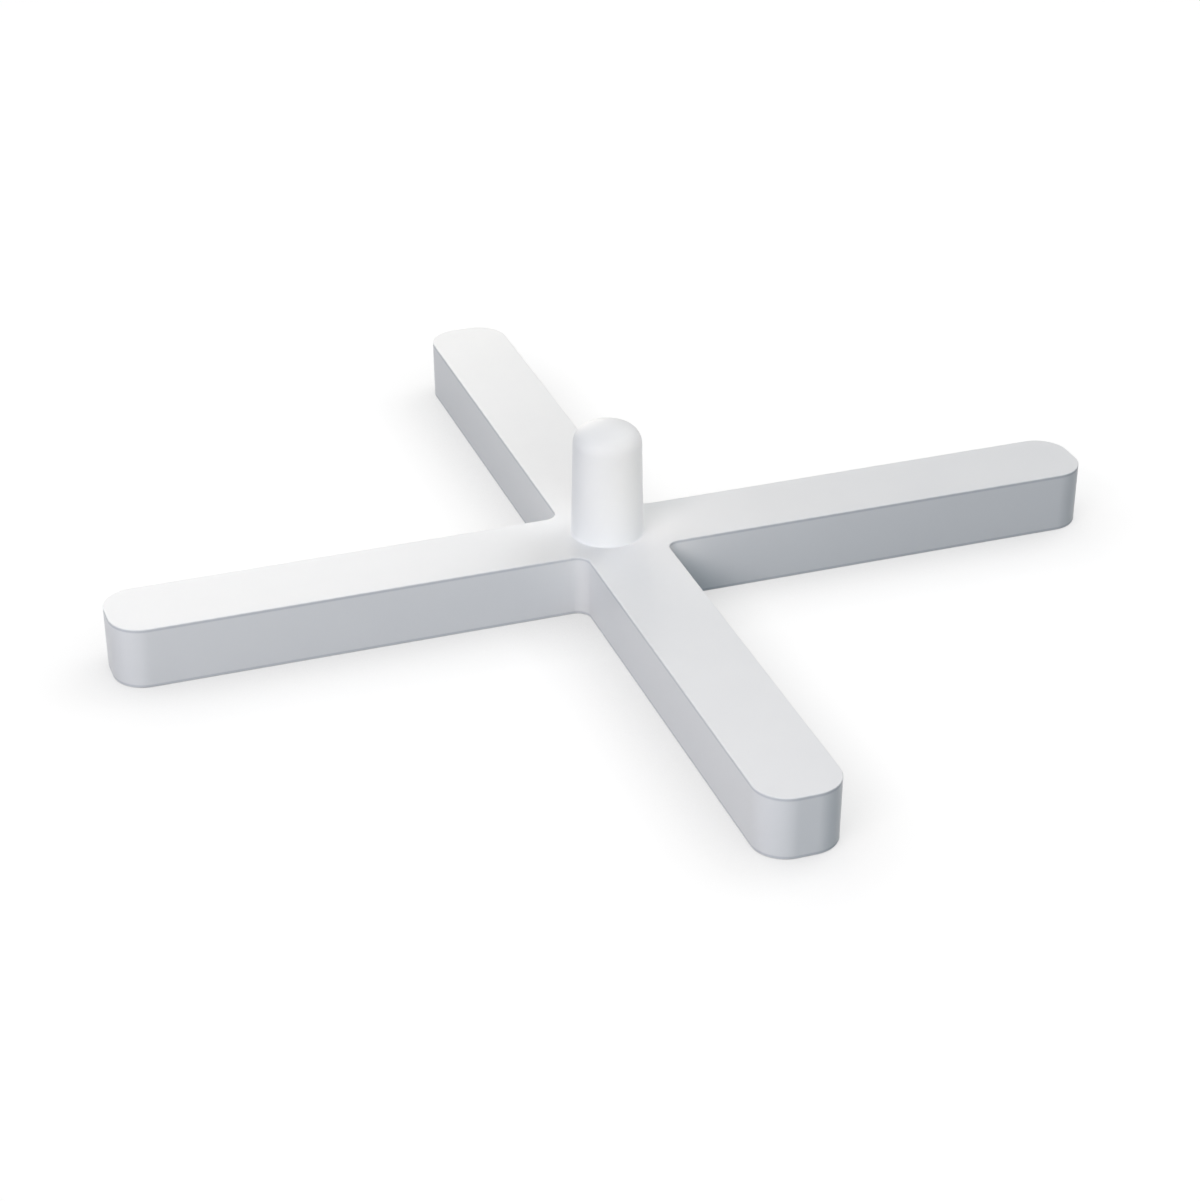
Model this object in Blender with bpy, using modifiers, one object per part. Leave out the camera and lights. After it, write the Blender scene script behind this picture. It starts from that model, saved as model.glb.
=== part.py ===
"""A tile spacer: a moulded plastic cross that holds a joint open at the corner of four tiles.

The cross stands on the floor with its crossing over the origin. Its arms lie along X and Y,
and its pulling peg stands up along +Z. All sizes are in metres.
"""

import math

import bmesh
import bpy
from mathutils import Matrix, Vector

# The cross, measured across its top face, where it is widest
JOINT_WIDTH = 0.0030
ARM_REACH = 0.01825
BODY_HEIGHT = 0.0023
WALL_DRAFT = math.radians(0.75)
TIP_CORNER_RADIUS = 0.00117
INNER_FILLET_RADIUS = 0.00048
TOP_EDGE_RADIUS = 0.00003
BOTTOM_EDGE_RADIUS = 0.00005

# The pulling peg, measured from the top face. Its axis stands a little left of the crossing's middle
PEG_AXIS_X = -0.00017
PEG_ROOT_DIAMETER = 0.0026
PEG_SIDE_HEIGHT = 0.0035
PEG_DRAFT = math.radians(1.25)
PEG_SHOULDER_RADIUS = 0.00065
PEG_CROWN_RADIUS = 0.0020
PEG_ROOT_FILLET = 0.00006

# How finely round stretches are divided
TIP_CORNER_STEPS = 10
INNER_FILLET_STEPS = 6
EDGE_STEPS = 3
PEG_SEGMENTS = 48
SHOULDER_STEPS = 7
CROWN_STEPS = 4
ROOT_FILLET_STEPS = 4

# The root fillet stops this far short of lying flat on the top face
ROOT_FILLET_SHORT_OF_FLAT = math.radians(12)
MERGE_DISTANCE = 1e-7
SHARP_ANGLE = math.radians(35)

ARM_COUNT = 4
QUARTER_TURN = math.radians(90)


def clear_scene():
    for old in list(bpy.data.objects):
        bpy.data.objects.remove(old, do_unlink=True)


def new_collection(name):
    collection = bpy.data.collections.new(name)
    bpy.context.scene.collection.children.link(collection)
    return collection


def white_plastic():
    """Satin white moulded plastic."""
    material = bpy.data.materials.new("white_plastic")
    material.use_nodes = True
    shader = material.node_tree.nodes["Principled BSDF"]
    shader.inputs["Base Color"].default_value = (0.84, 0.85, 0.86, 1.0)
    shader.inputs["Roughness"].default_value = 0.35
    shader.inputs["Metallic"].default_value = 0.0
    return material


def arc(centre, radius, start, end, steps):
    """Points (a, b) on an arc from the start angle to the end angle, both ends included."""
    points = []
    for step in range(steps + 1):
        angle = start + (end - start) * step / steps
        points.append((centre[0] + radius * math.cos(angle), centre[1] + radius * math.sin(angle)))
    return points


def arm_outline():
    """One quarter of the outline, anticlockwise: an inner fillet, then the tip of the arm along +X."""
    half_width = JOINT_WIDTH / 2
    tip_radius = min(TIP_CORNER_RADIUS, half_width)
    fillet_centre = half_width + INNER_FILLET_RADIUS
    corner_x = ARM_REACH - tip_radius
    corner_y = half_width - tip_radius
    return (
        arc((fillet_centre, -fillet_centre), INNER_FILLET_RADIUS, 2 * QUARTER_TURN, QUARTER_TURN,
            INNER_FILLET_STEPS)
        + arc((corner_x, -corner_y), tip_radius, -QUARTER_TURN, 0, TIP_CORNER_STEPS)
        + arc((corner_x, corner_y), tip_radius, 0, QUARTER_TURN, TIP_CORNER_STEPS)
    )


def cross_outline():
    """The whole outline of the top face, anticlockwise: the same quarter, turned to each arm in order.

    Where a tip is fully round, its two corner arcs meet, and their shared point is kept once.
    """
    points = []
    for arm in range(ARM_COUNT):
        turn = Matrix.Rotation(arm * QUARTER_TURN, 3, "Z")
        for x, y in arm_outline():
            point = turn @ Vector((x, y, BODY_HEIGHT))
            if not points or (point - points[-1]).length > MERGE_DISTANCE:
                points.append(point)
    return points


def round_perimeter(mesh, face, radius):
    """Rounds every edge round the face."""
    bmesh.ops.bevel(
        mesh,
        geom=list(face.edges),
        offset=radius,
        offset_type="OFFSET",
        segments=EDGE_STEPS,
        profile=0.5,
        affect="EDGES",
        clamp_overlap=True,
    )


def make_cross(material, collection):
    """The outline, drawn in with draft down to the underside, closed on top, with both rims rounded."""
    mesh = bmesh.new()
    underside = mesh.faces.new([mesh.verts.new(point) for point in reversed(cross_outline())])
    mesh.normal_update()
    bmesh.ops.inset_region(
        mesh,
        faces=[underside],
        thickness=BODY_HEIGHT * math.tan(WALL_DRAFT),
        depth=BODY_HEIGHT,
        use_boundary=True,
        use_even_offset=True,
    )
    rim = [edge for edge in mesh.edges if edge.is_boundary]
    top = bmesh.ops.edgeloop_fill(mesh, edges=rim)["faces"][0]
    round_perimeter(mesh, top, TOP_EDGE_RADIUS)
    round_perimeter(mesh, underside, BOTTOM_EDGE_RADIUS)
    bmesh.ops.recalc_face_normals(mesh, faces=mesh.faces[:])

    data = bpy.data.meshes.new("tile_spacer")
    mesh.to_mesh(data)
    mesh.free()
    data.shade_smooth()
    data.set_sharp_from_angle(angle=SHARP_ANGLE)
    data.materials.append(material)
    cross = bpy.data.objects.new("tile_spacer", data)
    collection.objects.link(cross)
    return cross


def peg_profile():
    """The peg's half section (radius, height above the top face), from its crown down to its buried end.

    A shallow crown, struck from a centre on the axis, meets the shoulder where their normals agree.
    The shoulder runs into the drafted side, and a small fillet spreads the side onto the top face.
    """
    root_radius = PEG_ROOT_DIAMETER / 2
    side_top_radius = root_radius - PEG_SIDE_HEIGHT * math.tan(PEG_DRAFT)
    shoulder_radius = min(PEG_SHOULDER_RADIUS, side_top_radius)
    crown_radius = max(PEG_CROWN_RADIUS, side_top_radius)
    shoulder = (
        side_top_radius - shoulder_radius * math.cos(PEG_DRAFT),
        PEG_SIDE_HEIGHT - shoulder_radius * math.sin(PEG_DRAFT),
    )
    meeting = math.acos(shoulder[0] / (crown_radius - shoulder_radius))
    crown = (0.0, shoulder[1] - (crown_radius - shoulder_radius) * math.sin(meeting))
    fillet = (
        root_radius + PEG_ROOT_FILLET * (1 / math.cos(PEG_DRAFT) - math.tan(PEG_DRAFT)),
        PEG_ROOT_FILLET,
    )
    fillet_end = 3 * QUARTER_TURN - ROOT_FILLET_SHORT_OF_FLAT
    profile = (
        arc(crown, crown_radius, QUARTER_TURN, meeting, CROWN_STEPS)
        + arc(shoulder, shoulder_radius, meeting, PEG_DRAFT, SHOULDER_STEPS)[1:]
        + arc(fillet, PEG_ROOT_FILLET, 2 * QUARTER_TURN + PEG_DRAFT, fillet_end, ROOT_FILLET_STEPS)
    )
    buried_end = -BODY_HEIGHT / 2
    return profile + [(profile[-1][0], buried_end), (0.0, buried_end)]


def make_peg(material, collection):
    """The peg's half section turned about its axis, with its end buried in the crossing."""
    profile = peg_profile()
    data = bpy.data.meshes.new("peg_profile")
    edges = [(index, index + 1) for index in range(len(profile) - 1)]
    data.from_pydata([(radius, 0.0, height) for radius, height in profile], edges, [])
    data.materials.append(material)
    peg = bpy.data.objects.new("peg", data)
    peg.location = (PEG_AXIS_X, 0.0, BODY_HEIGHT)
    collection.objects.link(peg)
    turning = peg.modifiers.new("turning", "SCREW")
    turning.steps = PEG_SEGMENTS
    turning.render_steps = PEG_SEGMENTS
    turning.use_merge_vertices = True
    turning.merge_threshold = MERGE_DISTANCE
    turning.use_smooth_shade = True
    peg.hide_render = True
    peg.display_type = "WIRE"
    return peg


def join(body, added):
    """Makes the added shape one with the body."""
    union = body.modifiers.new("joined_" + added.name, "BOOLEAN")
    union.operation = "UNION"
    union.solver = "EXACT"
    union.object = added


def main():
    clear_scene()
    parts = new_collection("Tile spacer")
    joined_shapes = new_collection("Joined shapes")
    plastic = white_plastic()
    cross = make_cross(plastic, parts)
    peg = make_peg(plastic, joined_shapes)
    join(cross, peg)


main()
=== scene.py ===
"""Dresses the tile spacer: one closed skin of satin white plastic, on a white floor in soft light."""

import math
from collections import namedtuple

import bpy
import numpy as np
from mathutils import Matrix, Vector


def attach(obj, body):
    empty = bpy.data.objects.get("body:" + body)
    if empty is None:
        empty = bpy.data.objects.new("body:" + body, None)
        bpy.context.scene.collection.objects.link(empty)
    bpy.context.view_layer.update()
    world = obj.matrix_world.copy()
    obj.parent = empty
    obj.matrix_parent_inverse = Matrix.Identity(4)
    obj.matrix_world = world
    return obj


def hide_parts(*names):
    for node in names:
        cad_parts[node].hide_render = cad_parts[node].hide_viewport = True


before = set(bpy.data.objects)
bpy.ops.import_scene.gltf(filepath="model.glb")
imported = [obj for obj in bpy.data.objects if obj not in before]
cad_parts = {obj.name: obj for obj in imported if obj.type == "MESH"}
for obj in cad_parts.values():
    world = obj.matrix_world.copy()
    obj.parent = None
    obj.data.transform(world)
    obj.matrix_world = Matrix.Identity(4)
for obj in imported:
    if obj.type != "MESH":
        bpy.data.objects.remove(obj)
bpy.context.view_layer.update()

# The spacer's sizes, in metres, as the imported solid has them
JOINT_WIDTH = 0.0030
ARM_REACH = 0.01825
BODY_HEIGHT = 0.0023
WALL_DRAFT = math.radians(0.75)
TIP_CORNER_RADIUS = 0.00117
INNER_FILLET_RADIUS = 0.00048
TOP_EDGE_RADIUS = 0.00003
BOTTOM_EDGE_RADIUS = 0.00005
PEG_AXIS_X = -0.00017
PEG_ROOT_DIAMETER = 0.0026
PEG_SIDE_HEIGHT = 0.0035
PEG_DRAFT = math.radians(1.25)
PEG_SHOULDER_RADIUS = 0.00065
PEG_CROWN_RADIUS = 0.0020
PEG_ROOT_FILLET = 0.00006
ARM_COUNT = 4
QUARTER_TURN = math.radians(90)

# How many rows of the skin's grid each stretch takes
FILLET_ROWS = 10
ARM_SIDE_ROWS = 20
TIP_CORNER_ROWS = 12
TIP_END_ROWS = 2
CROWN_ROWS = 10
SHOULDER_ROWS = 14
PEG_SIDE_ROWS = 20
ROOT_ROWS = 8
DECK_ROWS = 12
EDGE_ROWS = 6
WALL_ROWS = 8
UNDERSIDE_ROWS = 8

# The photograph's frame and where the middle of the crossing's top face shows in it, in pixels
FRAME_WIDTH = 1200
FRAME_HEIGHT = 1201
CROSSING_ACROSS = 611.67
CROSSING_DOWN = 529.80

# The camera that fits the spacer's edges in the photograph. Its distance from the middle of the crossing's
# top face is in metres, measured along the view
FOCAL_LENGTH_PIXELS = 3021.17
CAMERA_DISTANCE = 0.10783
CAMERA_HEADING = math.radians(19.396)
CAMERA_PITCH = math.radians(29.643)
CAMERA_ROLL = math.radians(0.0376)
SENSOR_WIDTH_MM = 36.0


class Signal:
    """An output socket. Arithmetic on signals adds the Math nodes that do it."""

    def __init__(self, finish, socket):
        self.finish = finish
        self.socket = socket

    def combined(self, operation, first, second):
        return self.finish.node("ShaderNodeMath", {"operation": operation}, {0: first, 1: second})["Value"]

    def __add__(self, other):
        return self.combined("ADD", self, other)

    def __radd__(self, other):
        return self.combined("ADD", other, self)

    def __sub__(self, other):
        return self.combined("SUBTRACT", self, other)

    def __rsub__(self, other):
        return self.combined("SUBTRACT", other, self)

    def __mul__(self, other):
        return self.combined("MULTIPLY", self, other)

    def __rmul__(self, other):
        return self.combined("MULTIPLY", other, self)

    def __pow__(self, other):
        return self.combined("POWER", self, other)

    def __rpow__(self, other):
        return self.combined("POWER", other, self)

    def __abs__(self):
        return self.finish.node("ShaderNodeMath", {"operation": "ABSOLUTE"}, {0: self})["Value"]


class Finish:
    """A node tree that is filled one call at a time."""

    def __init__(self, tree):
        self.tree = tree
        self.tree.nodes.clear()

    def node(self, kind, settings=None, inputs=None):
        """Adds a node: its settings first, then the value or link of each input. Gives its outputs."""
        added = self.tree.nodes.new(kind)
        for name, value in (settings or {}).items():
            setattr(added, name, value)
        for key, value in (inputs or {}).items():
            socket = added.inputs[key] if isinstance(key, int) else self.open_input(added, key)
            if isinstance(value, Signal):
                self.tree.links.new(value.socket, socket)
            else:
                socket.default_value = value
        return {output.name: Signal(self, output) for output in added.outputs if output.enabled}

    def open_input(self, added, name):
        """The input of that name which the node's settings leave in use."""
        return next(socket for socket in added.inputs if socket.enabled and socket.name == name)


def fade(finish, value, start, end, first, last):
    """A smooth change from first to last as a value goes from start to end."""
    return finish.node("ShaderNodeMapRange", {"interpolation_type": "SMOOTHSTEP"}, {
        "Value": value, "From Min": start, "From Max": end, "To Min": first, "To Max": last,
    })["Result"]


def mixed_colour(finish, share, first, second):
    """The first colour where the share is 0 and the second where it is 1."""
    return finish.node("ShaderNodeMix", {"data_type": "RGBA"}, {
        "Factor": share, "A": first, "B": second,
    })["Result"]


def grey(level):
    """A colour with no tint."""
    return (level, level, level, 1.0)


def put(name, data):
    """Adds an object to the scene, at the origin."""
    added = bpy.data.objects.new(name, data)
    bpy.context.scene.collection.objects.link(added)
    return added


def sweep(start, end, rows):
    """Evenly spaced values from start to end. The end is left out, because the next stretch starts there."""
    return np.linspace(start, end, rows, endpoint=False)


def arm_outline():
    """One quarter of the outline of the top face, as points and outward normals, anticlockwise.

    Formula: a quarter circle round the inner fillet's centre, a straight side whose points lie at even
    angles seen from the crossing, a quarter circle at each tip corner with the tip's end between
    them, and the other side. A side point at angle t has x = half width / tan t.
    """
    half_width = JOINT_WIDTH / 2
    fillet_centre = half_width + INNER_FILLET_RADIUS
    corner_x = ARM_REACH - TIP_CORNER_RADIUS
    corner_y = half_width - TIP_CORNER_RADIUS
    fillet_angle = sweep(2 * QUARTER_TURN, QUARTER_TURN, FILLET_ROWS)
    fillet = np.stack([np.cos(fillet_angle), np.sin(fillet_angle)], 1)
    near_fillet = math.atan2(half_width, fillet_centre)
    near_tip = math.atan2(half_width, corner_x)
    out_x = half_width / np.tan(sweep(near_fillet, near_tip, ARM_SIDE_ROWS))
    back_x = half_width / np.tan(sweep(near_tip, near_fillet, ARM_SIDE_ROWS))
    corner_angle = sweep(-QUARTER_TURN, 0.0, TIP_CORNER_ROWS)
    first_corner = np.stack([np.cos(corner_angle), np.sin(corner_angle)], 1)
    second_corner = np.stack([-first_corner[:, 1], first_corner[:, 0]], 1)
    end_y = sweep(-corner_y, corner_y, TIP_END_ROWS)
    level = np.ones(ARM_SIDE_ROWS)
    points = np.concatenate([
        (fillet_centre, -fillet_centre) + INNER_FILLET_RADIUS * fillet,
        np.stack([out_x, -half_width * level], 1),
        (corner_x, -corner_y) + TIP_CORNER_RADIUS * first_corner,
        np.stack([np.full(TIP_END_ROWS, ARM_REACH), end_y], 1),
        (corner_x, corner_y) + TIP_CORNER_RADIUS * second_corner,
        np.stack([back_x, half_width * level], 1),
    ])
    normals = np.concatenate([
        -fillet,
        np.stack([0 * level, -level], 1),
        first_corner,
        np.tile((1.0, 0.0), (TIP_END_ROWS, 1)),
        second_corner,
        np.stack([0 * level, level], 1),
    ])
    return points, normals


def cross_outline():
    """The quarter outline, turned a quarter turn at a time to each of the four arms."""
    points, normals = arm_outline()
    turned_points = []
    turned_normals = []
    for _ in range(ARM_COUNT):
        turned_points.append(points)
        turned_normals.append(normals)
        points = np.stack([-points[:, 1], points[:, 0]], 1)
        normals = np.stack([-normals[:, 1], normals[:, 0]], 1)
    return np.concatenate(turned_points), np.concatenate(turned_normals)


def circle_rows(centre, radius, angles):
    """Rows (distance out, height, normal out, normal up) on a circle: centre plus radius along the angle."""
    out = np.cos(angles)
    up = np.sin(angles)
    return np.stack([centre[0] + radius * out, centre[1] + radius * up, out, up], 1)


def peg_rows():
    """The peg's half section above the top face, from just under its pole to where its root lies flat.

    Formula: a crown circle centred on the axis, a shoulder circle that it meets where their normals
    agree, a straight drafted side, and a root circle of opposite hand, which ends level.
    """
    root = PEG_ROOT_DIAMETER / 2
    side_top = root - PEG_SIDE_HEIGHT * math.tan(PEG_DRAFT)
    shoulder = (
        side_top - PEG_SHOULDER_RADIUS * math.cos(PEG_DRAFT),
        PEG_SIDE_HEIGHT - PEG_SHOULDER_RADIUS * math.sin(PEG_DRAFT),
    )
    meeting = math.acos(shoulder[0] / (PEG_CROWN_RADIUS - PEG_SHOULDER_RADIUS))
    crown = (0.0, shoulder[1] - (PEG_CROWN_RADIUS - PEG_SHOULDER_RADIUS) * math.sin(meeting))
    hollow = (
        root + PEG_ROOT_FILLET * (1 / math.cos(PEG_DRAFT) - math.tan(PEG_DRAFT)),
        PEG_ROOT_FILLET,
    )
    shoulder_rows = circle_rows(shoulder, PEG_SHOULDER_RADIUS, sweep(meeting, PEG_DRAFT, SHOULDER_ROWS))
    root_angles = np.linspace(2 * QUARTER_TURN + PEG_DRAFT, 3 * QUARTER_TURN, ROOT_ROWS + 1)
    root_rows = circle_rows(hollow, PEG_ROOT_FILLET, root_angles)
    root_rows[:, 2:] *= -1
    side_top_row = circle_rows(shoulder, PEG_SHOULDER_RADIUS, np.array([PEG_DRAFT]))[0]
    share = sweep(0.0, 1.0, PEG_SIDE_ROWS)[:, None]
    side_rows = side_top_row + share * (root_rows[0] - side_top_row)
    crown_rows = circle_rows(crown, PEG_CROWN_RADIUS, sweep(QUARTER_TURN, meeting, CROWN_ROWS)[1:])
    pole_height = crown[1] + PEG_CROWN_RADIUS
    return pole_height, np.concatenate([crown_rows, shoulder_rows, side_rows, root_rows])


def rim_rows():
    """The cross's section from the top face's rim down to the underside: (inset, height, out, up) rows.

    Formula: the top round and the bottom round are circles that touch the drafted wall, whose inset
    at a height is the drop from the top times the tangent of the draft.
    """
    slope = math.tan(WALL_DRAFT)
    lean = 1 / math.cos(WALL_DRAFT)
    top = (TOP_EDGE_RADIUS * (lean + slope), BODY_HEIGHT - TOP_EDGE_RADIUS)
    bottom = (
        BOTTOM_EDGE_RADIUS * lean + (BODY_HEIGHT - BOTTOM_EDGE_RADIUS) * slope,
        BOTTOM_EDGE_RADIUS,
    )
    top_rows = circle_rows(top, TOP_EDGE_RADIUS, np.linspace(QUARTER_TURN, -WALL_DRAFT, EDGE_ROWS + 1))
    bottom_rows = circle_rows(
        bottom, BOTTOM_EDGE_RADIUS, np.linspace(-WALL_DRAFT, -QUARTER_TURN, EDGE_ROWS + 1)
    )
    for rows, centre in ((top_rows, top), (bottom_rows, bottom)):
        rows[:, 0] = 2 * centre[0] - rows[:, 0]
    share = sweep(0.0, 1.0, WALL_ROWS)[1:, None]
    wall_rows = top_rows[-1] + share * (bottom_rows[0] - top_rows[-1])
    return np.concatenate([top_rows, wall_rows, bottom_rows])


def raised(plan, heights):
    """Rows of flat points, or of flat directions, with each row's own height added as the third number."""
    return np.concatenate([plan, np.broadcast_to(heights[:, None, None], (*plan.shape[:2], 1))], 2)


def skin_grid():
    """The whole skin as a grid: every row runs once round the spacer, from the peg's crown to the underside.

    Formula: a peg row is a circle round the peg's axis, sampled at the angles at which the outline's
    points are seen from the crossing. A deck row is a straight blend from the peg's root circle to the
    rim. A rim row is the outline moved in along its normals by the row's inset. An underside row is
    the last rim row, drawn in towards the centre.
    """
    outline, normals = cross_outline()
    around = np.arctan2(outline[:, 1], outline[:, 0])
    spoke = np.stack([np.cos(around), np.sin(around)], 1)
    pole_height, peg = peg_rows()
    rim = rim_rows()
    peg_points = raised((PEG_AXIS_X, 0.0) + peg[:, 0, None, None] * spoke, BODY_HEIGHT + peg[:, 1])
    peg_normals = raised(peg[:, 2, None, None] * spoke, peg[:, 3])
    rim_points = raised(outline - rim[:, 0, None, None] * normals, rim[:, 1])
    rim_normals = raised(rim[:, 2, None, None] * normals, rim[:, 3])
    deck_share = sweep(0.0, 1.0, DECK_ROWS)[1:, None, None]
    deck_points = peg_points[-1] + deck_share * (rim_points[0] - peg_points[-1])
    deck_normals = np.broadcast_to((0.0, 0.0, 1.0), deck_points.shape)
    under_share = sweep(1.0, 0.0, UNDERSIDE_ROWS)[1:, None, None]
    under_points = under_share * rim_points[-1]
    under_normals = np.broadcast_to((0.0, 0.0, -1.0), under_points.shape)
    points = np.concatenate([peg_points, deck_points, rim_points, under_points])
    directions = np.concatenate([peg_normals, deck_normals, rim_normals, under_normals])
    return BODY_HEIGHT + pole_height, points, directions


def close_skin(name):
    """Makes the grid a closed mesh with a pole on the crown and one under the crossing.

    Formula: four neighbours in the grid are a face, and a pole has a fan of faces to the row beside it.
    """
    crown_height, points, directions = skin_grid()
    rows, columns = points.shape[:2]
    crown_pole = rows * columns
    under_pole = crown_pole + 1
    vertices = np.concatenate([points.reshape(-1, 3), ((PEG_AXIS_X, 0.0, crown_height), (0.0, 0.0, 0.0))])
    normals = np.concatenate([directions.reshape(-1, 3), ((0.0, 0.0, 1.0), (0.0, 0.0, -1.0))])
    index = np.arange(rows * columns).reshape(rows, columns)
    following = np.roll(index, -1, axis=1)
    quads = np.stack([index[:-1], index[1:], following[1:], following[:-1]], 2).reshape(-1, 4)
    crown_fan = np.stack([np.full(columns, crown_pole), index[0], following[0]], 1)
    under_fan = np.stack([np.full(columns, under_pole), following[-1], index[-1]], 1)
    mesh = bpy.data.meshes.new(name)
    mesh.from_pydata(vertices, [], quads.tolist() + crown_fan.tolist() + under_fan.tolist())
    mesh.shade_smooth()
    mesh.normals_split_custom_set_from_vertices(normals)
    return put(name, mesh)


# The level of the room's even light on the spacer and the floor
ROOM_LIGHT = 0.040

# Each lamp's bearing and height are angles seen from what it faces, its distance and size are in metres,
# and its light is the level that it gives a white surface which faces it
Lamp = namedtuple("Lamp", "name bearing height distance size light")
LAMPS = (
    Lamp("back_lamp", 90, 15, 0.25, 0.15, (0.406, 0.384, 0.349)),
    Lamp("left_lamp", 180, 15, 0.25, 0.15, (0.112, 0.133, 0.164)),
    Lamp("front_left_lamp", 225, 15, 0.25, 0.15, (0.080, 0.070, 0.067)),
    Lamp("front_lamp", 270, 15, 0.25, 0.15, (0.158, 0.198, 0.229)),
    Lamp("back_right_lamp", 22, 45, 0.25, 0.15, (0.355, 0.355, 0.364)),
    Lamp("high_back_right_lamp", 45, 60, 0.25, 0.15, (0.099, 0.097, 0.088)),
    Lamp("near_back_left_lamp", 135, 50, 0.09, 0.04, (0.094, 0.105, 0.108)),
    Lamp("near_front_left_lamp", 225, 35, 0.09, 0.04, (0.456, 0.434, 0.432)),
)

# Two narrow lamps light the peg alone. They face the place on its axis that is so far above the top face
PEG_LAMP_AIM = 0.0025
PEG_LAMP_BEAM = math.radians(3.0)
PEG_LAMP_SOFT_EDGE = 1.0
PEG_LAMPS = (
    Lamp("peg_front_lamp", 274, 7, 0.10, 0.006, (0.630, 0.566, 0.468)),
    Lamp("peg_right_lamp", 340, 7, 0.10, 0.006, (0.390, 0.368, 0.362)),
)

# The power that a lamp needs, as a multiple of what a soft box needs for the same level
SOFT_BOX_POWER = 1
ALL_ROUND_POWER = 4


def lamp_place(lamp):
    """Where a lamp hangs: its distance along the direction that its bearing and height give."""
    bearing = math.radians(lamp.bearing)
    height = math.radians(lamp.height)
    return lamp.distance * Vector((
        math.cos(height) * math.cos(bearing),
        math.cos(height) * math.sin(bearing),
        math.sin(height),
    ))


PLASTIC_WHITE = (0.845, 0.855, 0.865, 1.0)
PLASTIC_CLOUD = (0.815, 0.825, 0.84, 1.0)
PLASTIC_ROUGHNESS = 0.36
PLASTIC_GLOSS = 0.4
PLASTIC_IOR = 1.49

# The clouding and the grain are noises with so many cells to a metre, and each makes the gloss vary
NOISE_MIDDLE = 0.5
NOISE_ROUGHNESS = 0.5
CLOUD_SCALE = 450.0
CLOUD_DETAIL = 3.0
CLOUD_ROUGHENS = 0.10
GRAIN_SCALE = 9000.0
GRAIN_DETAIL = 2.0
GRAIN_ROUGHENS = 0.08
GRAIN_DEPTH = 0.0000006

# The peg's crown is duller than the rest: the roughness rises by this much between the two heights
CROWN_DULL_FROM = 0.0052
CROWN_DULL_TO = 0.0062
CROWN_DULL = 0.14

# A fine painted shade just inside each rim: a darker line in the colour that stands in for the shade under
# the top edge and the contact shadow at the foot
RIM_LINE_INSET = 0.000075
RIM_LINE_HALF_WIDTH = 0.000075
RIM_PAINTED_SHADE = (0.64, 0.66, 0.69, 1.0)


def noise(finish, place, scale, detail):
    """A noise from 0 to 1 that is fixed to the spacer."""
    return finish.node("ShaderNodeTexNoise", None, {
        "Vector": place, "Scale": scale, "Detail": detail, "Roughness": NOISE_ROUGHNESS,
    })["Fac"]


def white_plastic():
    """Satin white moulded plastic: faint clouding, a fine moulded grain, and a gloss that varies a little
    and is duller on the peg's crown.

    The rim lines are painted shade, standing in for the shade under the top edge and the contact shadow at
    the foot:
    bands in height, as far below the top face as above the underside, full at their middle, and fading to
    nothing at their half width.
    """
    material = bpy.data.materials.new("white_plastic")
    material.use_nodes = True
    finish = Finish(material.node_tree)
    place = finish.node("ShaderNodeTexCoord")["Object"]
    cloud = noise(finish, place, CLOUD_SCALE, CLOUD_DETAIL)
    grain = noise(finish, place, GRAIN_SCALE, GRAIN_DETAIL)
    white = mixed_colour(finish, cloud, PLASTIC_CLOUD, PLASTIC_WHITE)
    height = finish.node("ShaderNodeSeparateXYZ", None, {"Vector": place})["Z"]
    from_middle = abs(height - BODY_HEIGHT / 2)
    from_painted_shade = abs(from_middle - (BODY_HEIGHT / 2 - RIM_LINE_INSET))
    # Painted shade: a darker band in the colour just inside each rim, at the top and at the foot
    painted_rim_shade = fade(finish, from_painted_shade, 0.0, RIM_LINE_HALF_WIDTH, 1.0, 0.0)
    colour = mixed_colour(finish, painted_rim_shade, white, RIM_PAINTED_SHADE)
    clouded = CLOUD_ROUGHENS * (cloud - NOISE_MIDDLE)
    grained = GRAIN_ROUGHENS * (grain - NOISE_MIDDLE)
    dulled = fade(finish, height, CROWN_DULL_FROM, CROWN_DULL_TO, 0.0, CROWN_DULL)
    bump = finish.node("ShaderNodeBump", None, {
        "Height": grain, "Strength": 1.0, "Distance": GRAIN_DEPTH,
    })["Normal"]
    shader = finish.node("ShaderNodeBsdfPrincipled", None, {
        "Base Color": colour,
        "Roughness": PLASTIC_ROUGHNESS + clouded + grained + dulled,
        "IOR": PLASTIC_IOR,
        "Specular IOR Level": PLASTIC_GLOSS,
        "Normal": bump,
    })["BSDF"]
    finish.node("ShaderNodeOutputMaterial", None, {"Surface": shader})
    return material


def seen_directly(finish):
    """1 for rays from the camera, in a gloss or through a clear thing, and 0 for light on a surface."""
    path = finish.node("ShaderNodeLightPath")
    seen = path["Is Camera Ray"] + path["Is Glossy Ray"] + path["Is Transmission Ray"]
    return finish.node("ShaderNodeClamp", None, {"Value": seen})["Result"]


# The floor's own shade where light falls on it: as it lights the spacer from below, and as it is seen
FLOOR_BOUNCE = 0.15
FLOOR_SHOWN = 0.20
FLOOR_WHITE = 1.04
FLOOR_SIZE = 4.0

# Close to the spacer's feet the floor is shaded as far as the spacer stands round it, within this reach
FOOT_SHADE_REACH = 0.0034
FOOT_SHADE = 0.39
FOOT_SHADE_RAYS = 4

# Between these distances from the origin, well outside the spacer's shadow, the floor turns plain white
FLOOR_PLAIN_FROM = 0.05
FLOOR_PLAIN_TO = 0.08


def mean_level(lamp):
    """A lamp's level without its tint: the mean of its three channels."""
    return sum(lamp.light) / len(lamp.light)


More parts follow.
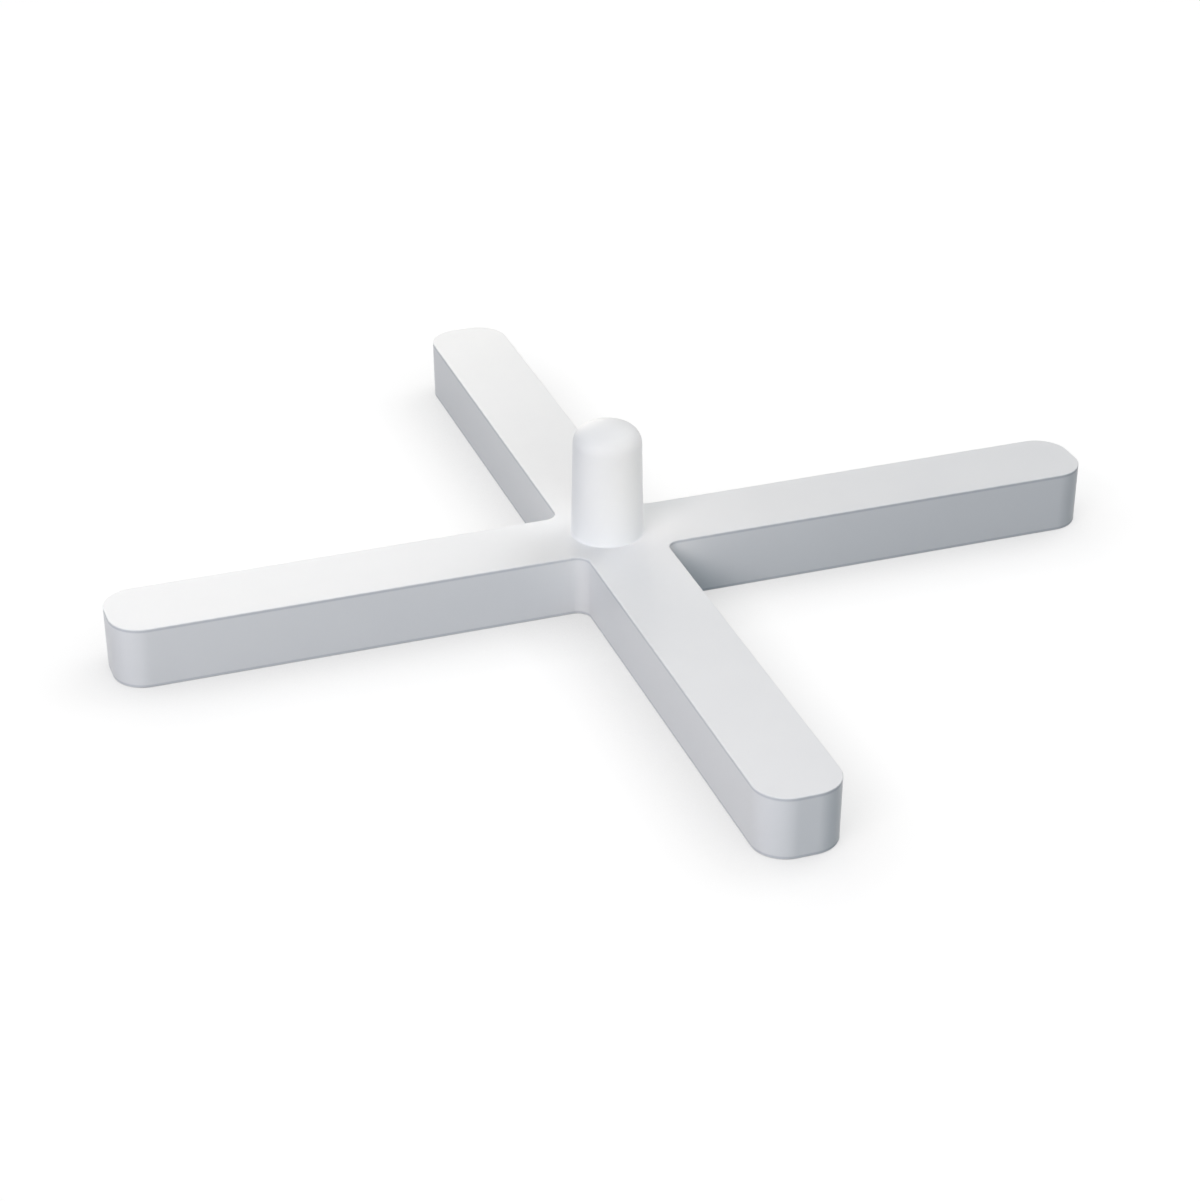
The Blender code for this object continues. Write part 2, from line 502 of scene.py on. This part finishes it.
def lamp_share(finish, lamp, place):
    """One lamp's light on a level floor at a place, as a share of its light on what faces it at the origin.

    Formula: the lamp's distance from the origin squared, times its height, times how far the place
    lies in front of it, over the fourth power of how far the place is from it.
    """
    stand = lamp_place(lamp)
    away = finish.node("ShaderNodeVectorMath", {"operation": "SUBTRACT"}, {0: place, 1: stand})["Vector"]
    in_front = finish.node("ShaderNodeVectorMath", {"operation": "DOT_PRODUCT"}, {
        0: away, 1: -stand.normalized(),
    })["Value"]
    in_front = finish.node("ShaderNodeMath", {"operation": "MAXIMUM"}, {0: in_front, 1: 0.0})["Value"]
    distance = finish.node("ShaderNodeVectorMath", {"operation": "LENGTH"}, {0: away})["Value"]
    return lamp.distance ** 2 * stand.z * in_front * distance ** -4


def white_floor():
    """Pale and matt. Seen directly it also glows by as much as its light falls short of white, so that the
    open floor is plain white and only the spacer's shadow shows. Close to its feet the glow falls by as
    much as the spacer hides of what surrounds the floor there. Away from it the floor turns plain white.
    """
    material = bpy.data.materials.new("white_floor")
    material.use_nodes = True
    finish = Finish(material.node_tree)
    matt = finish.node("ShaderNodeBsdfDiffuse", None, {"Color": grey(FLOOR_BOUNCE)})["BSDF"]
    pale = finish.node("ShaderNodeBsdfDiffuse", None, {"Color": grey(FLOOR_SHOWN)})["BSDF"]
    place = finish.node("ShaderNodeTexCoord")["Object"]
    glow = FLOOR_WHITE - FLOOR_SHOWN * ROOM_LIGHT
    for lamp in LAMPS:
        glow = glow - FLOOR_SHOWN * mean_level(lamp) * lamp_share(finish, lamp, place)
    open_share = finish.node("ShaderNodeAmbientOcclusion", {"samples": FOOT_SHADE_RAYS}, {
        "Distance": FOOT_SHADE_REACH,
    })["AO"]
    glow = glow - FOOT_SHADE * (1.0 - open_share)
    shine = finish.node("ShaderNodeEmission", None, {"Color": glow, "Strength": 1.0})["Emission"]
    near = finish.node("ShaderNodeAddShader", None, {0: pale, 1: shine})["Shader"]
    away = finish.node("ShaderNodeEmission", None, {"Color": grey(1.0), "Strength": 1.0})["Emission"]
    distance = finish.node("ShaderNodeVectorMath", {"operation": "LENGTH"}, {0: place})["Value"]
    far = fade(finish, distance, FLOOR_PLAIN_FROM, FLOOR_PLAIN_TO, 0.0, 1.0)
    shown = finish.node("ShaderNodeMixShader", None, {0: far, 1: near, 2: away})["Shader"]
    surface = finish.node("ShaderNodeMixShader", None, {
        0: seen_directly(finish), 1: matt, 2: shown,
    })["Shader"]
    finish.node("ShaderNodeOutputMaterial", None, {"Surface": surface})
    return material


def lay_floor():
    """A flat square under the spacer, many times its size."""
    half = FLOOR_SIZE / 2
    floor_corners = [(-half, -half, 0.0), (half, -half, 0.0), (half, half, 0.0), (-half, half, 0.0)]
    mesh = bpy.data.meshes.new("floor")
    mesh.from_pydata(floor_corners, [], [(0, 1, 2, 3)])
    mesh.materials.append(white_floor())
    floor = put("floor", mesh)


def light_room():
    """A white room. Its light on surfaces is faint and even, and seen directly it is plain white."""
    room = bpy.data.worlds.new("white_room")
    room.use_nodes = True
    bpy.context.scene.world = room
    finish = Finish(room.node_tree)
    soft = finish.node("ShaderNodeBackground", None, {"Color": grey(ROOM_LIGHT), "Strength": 1.0})
    white = finish.node("ShaderNodeBackground", None, {"Color": grey(1.0), "Strength": 1.0})
    surface = finish.node("ShaderNodeMixShader", None, {
        0: seen_directly(finish), 1: soft["Background"], 2: white["Background"],
    })["Shader"]
    finish.node("ShaderNodeOutputWorld", None, {"Surface": surface})


def hang(lamp, light, power, target):
    """Hangs a lamp, turned to its target and hidden from the camera, with the power that gives its level.

    Formula: from the distance d, a soft box gives a white surface that faces it the level L with the
    power pi squared d squared L, and another kind of lamp needs a multiple of that.
    """
    strength = max(lamp.light)
    light.energy = power * (math.pi * lamp.distance) ** 2 * strength
    light.color = [level / strength for level in lamp.light]
    place = target + lamp_place(lamp)
    hung = put(lamp.name, light)
    hung.location = place
    hung.rotation_euler = (target - place).to_track_quat("-Z", "Y").to_euler()
    hung.visible_camera = False


def hang_lamps():
    """Square soft boxes that face the origin, and two narrow lamps on the peg."""
    for lamp in LAMPS:
        light = bpy.data.lights.new(lamp.name, "AREA")
        light.shape = "SQUARE"
        light.size = lamp.size
        hang(lamp, light, SOFT_BOX_POWER, Vector((0.0, 0.0, 0.0)))
    middle = Vector((PEG_AXIS_X, 0.0, BODY_HEIGHT + PEG_LAMP_AIM))
    for lamp in PEG_LAMPS:
        light = bpy.data.lights.new(lamp.name, "SPOT")
        light.spot_size = PEG_LAMP_BEAM
        light.spot_blend = PEG_LAMP_SOFT_EDGE
        light.shadow_soft_size = lamp.size / 2
        hang(lamp, light, ALL_ROUND_POWER, middle)


NEAREST_SEEN = CAMERA_DISTANCE / 100
FARTHEST_SEEN = 2 * FLOOR_SIZE


def place_camera():
    """The camera looks along the fitted heading, from where the crossing shows at its place in the frame.

    Formula: the eye is the crossing less the camera's distance times the crossing's own ray, which is
    one forward, so many focal lengths to the right and so many down.
    """
    forward = Vector((
        math.sin(CAMERA_HEADING) * math.cos(CAMERA_PITCH),
        math.cos(CAMERA_HEADING) * math.cos(CAMERA_PITCH),
        -math.sin(CAMERA_PITCH),
    ))
    level = Vector((math.cos(CAMERA_HEADING), -math.sin(CAMERA_HEADING), 0.0))
    upright = level.cross(forward)
    right = math.cos(CAMERA_ROLL) * level + math.sin(CAMERA_ROLL) * upright
    up = math.cos(CAMERA_ROLL) * upright - math.sin(CAMERA_ROLL) * level
    across = (CROSSING_ACROSS - FRAME_WIDTH / 2) / FOCAL_LENGTH_PIXELS
    down = (CROSSING_DOWN - FRAME_HEIGHT / 2) / FOCAL_LENGTH_PIXELS
    crossing = Vector((0.0, 0.0, BODY_HEIGHT))
    eye = crossing - CAMERA_DISTANCE * (forward + across * right - down * up)
    data = bpy.data.cameras.new("camera")
    data.sensor_width = SENSOR_WIDTH_MM
    data.lens = FOCAL_LENGTH_PIXELS * SENSOR_WIDTH_MM / max(FRAME_WIDTH, FRAME_HEIGHT)
    data.clip_start = NEAREST_SEEN
    data.clip_end = FARTHEST_SEEN
    camera = put("camera", data)
    camera.matrix_world = Matrix.Translation(eye) @ Matrix((right, up, -forward)).transposed().to_4x4()
    bpy.context.scene.camera = camera


def main():
    bpy.context.scene.view_settings.view_transform = "Standard"
    place_camera()
    spacer = close_skin("moulded_spacer")
    spacer.data.materials.append(white_plastic())
    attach(spacer, "root")
    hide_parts("tile_spacer")
    lay_floor()
    light_room()
    hang_lamps()


main()
